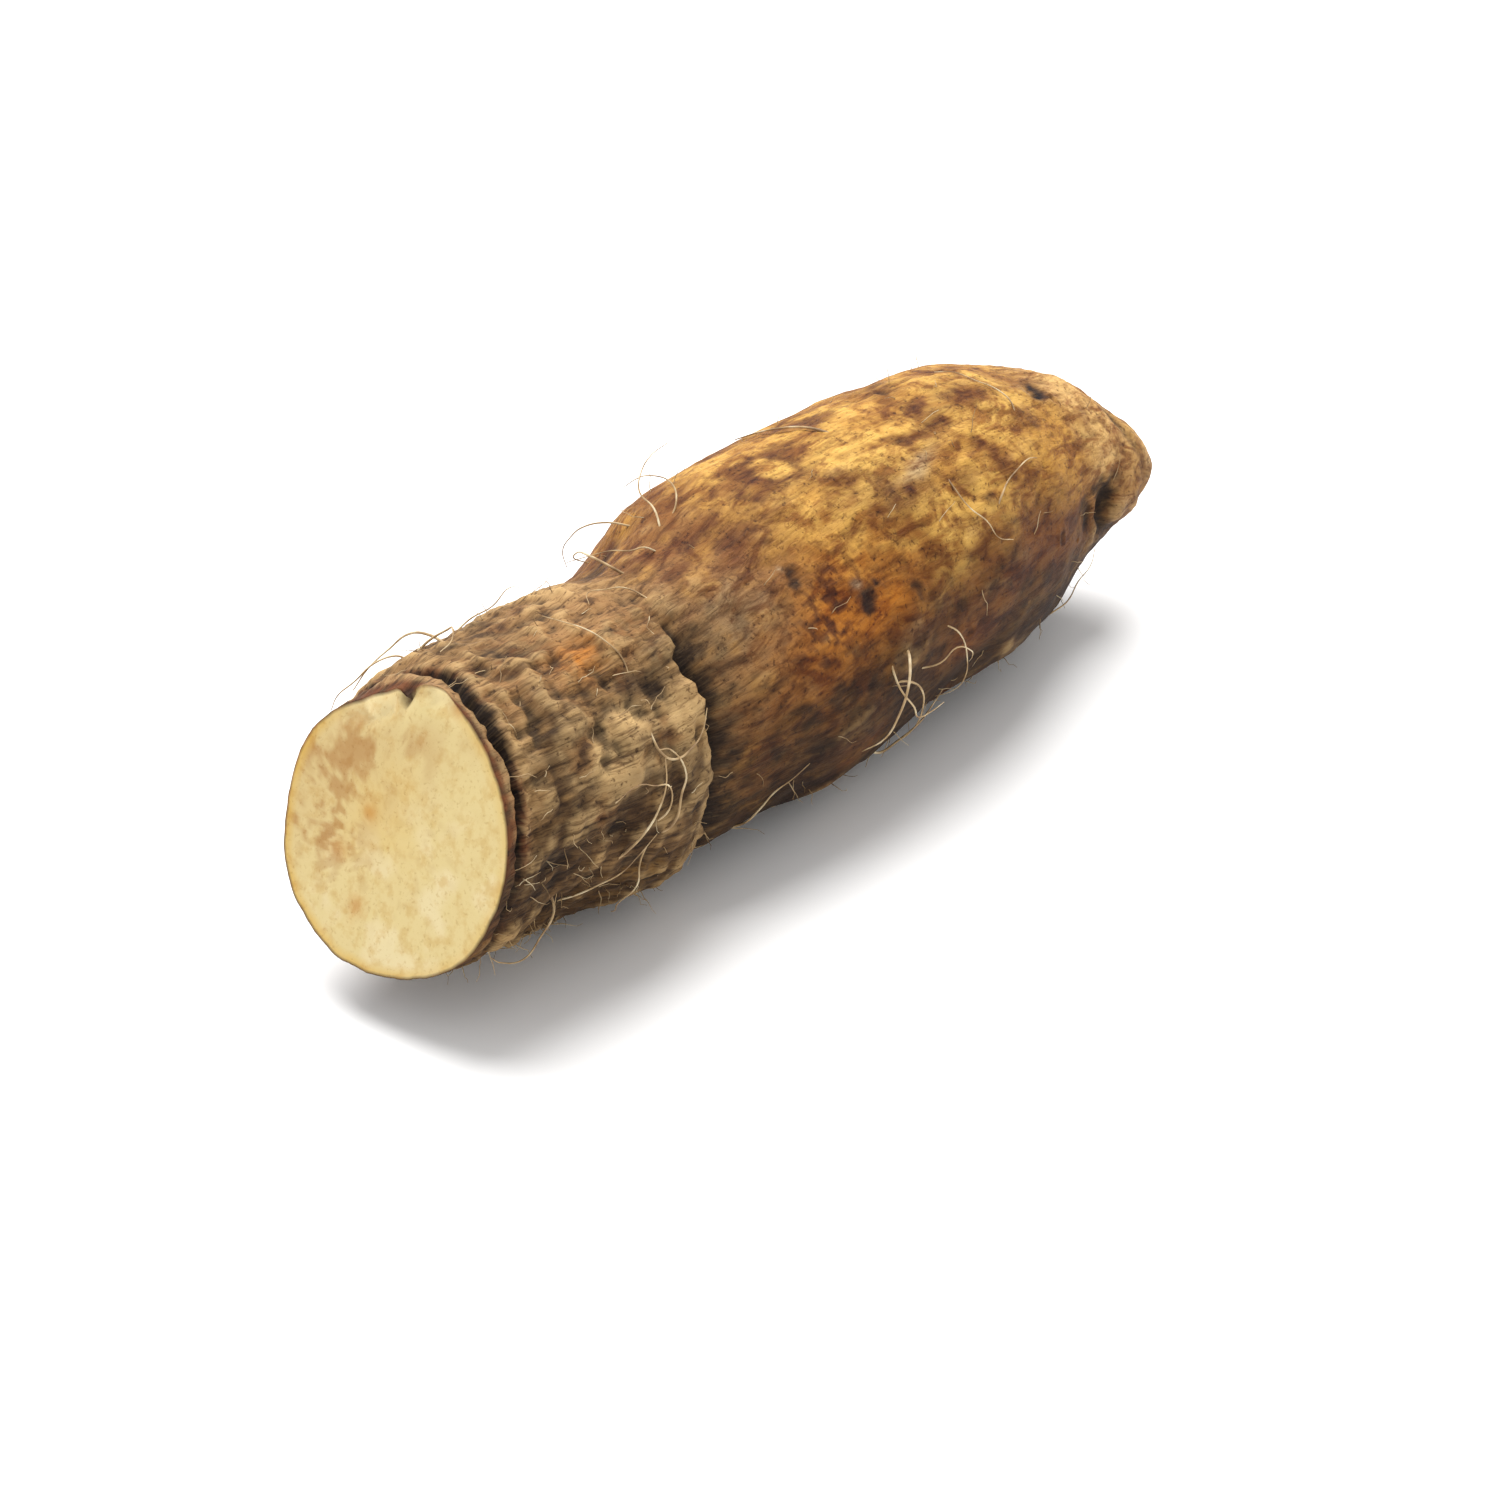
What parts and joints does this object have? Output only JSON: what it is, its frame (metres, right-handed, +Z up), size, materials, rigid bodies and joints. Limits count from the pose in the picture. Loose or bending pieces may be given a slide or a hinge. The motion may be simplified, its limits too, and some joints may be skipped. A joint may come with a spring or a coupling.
{
  "type": "yam",
  "caption": "One whole unpeeled yam tuber, cut straight through at its head end, lying on its flattened belly; thick in the middle, with a creased neck and a blunt tip",
  "frame": {"origin": "under the middle of the box, on the surface the tuber lies on", "axes": "+X along the tuber from the cut end to the tip, +Y to its back, +Z up"},
  "size_m": [0.3128, 0.097, 0.0921],
  "materials": {
    "skin": "dry, matte, fibrous tuber skin",
    "root": "dry wiry rootlets"
  },
  "bodies": {
    "root": {"yam": "skin"}
  },
  "joints": []
}
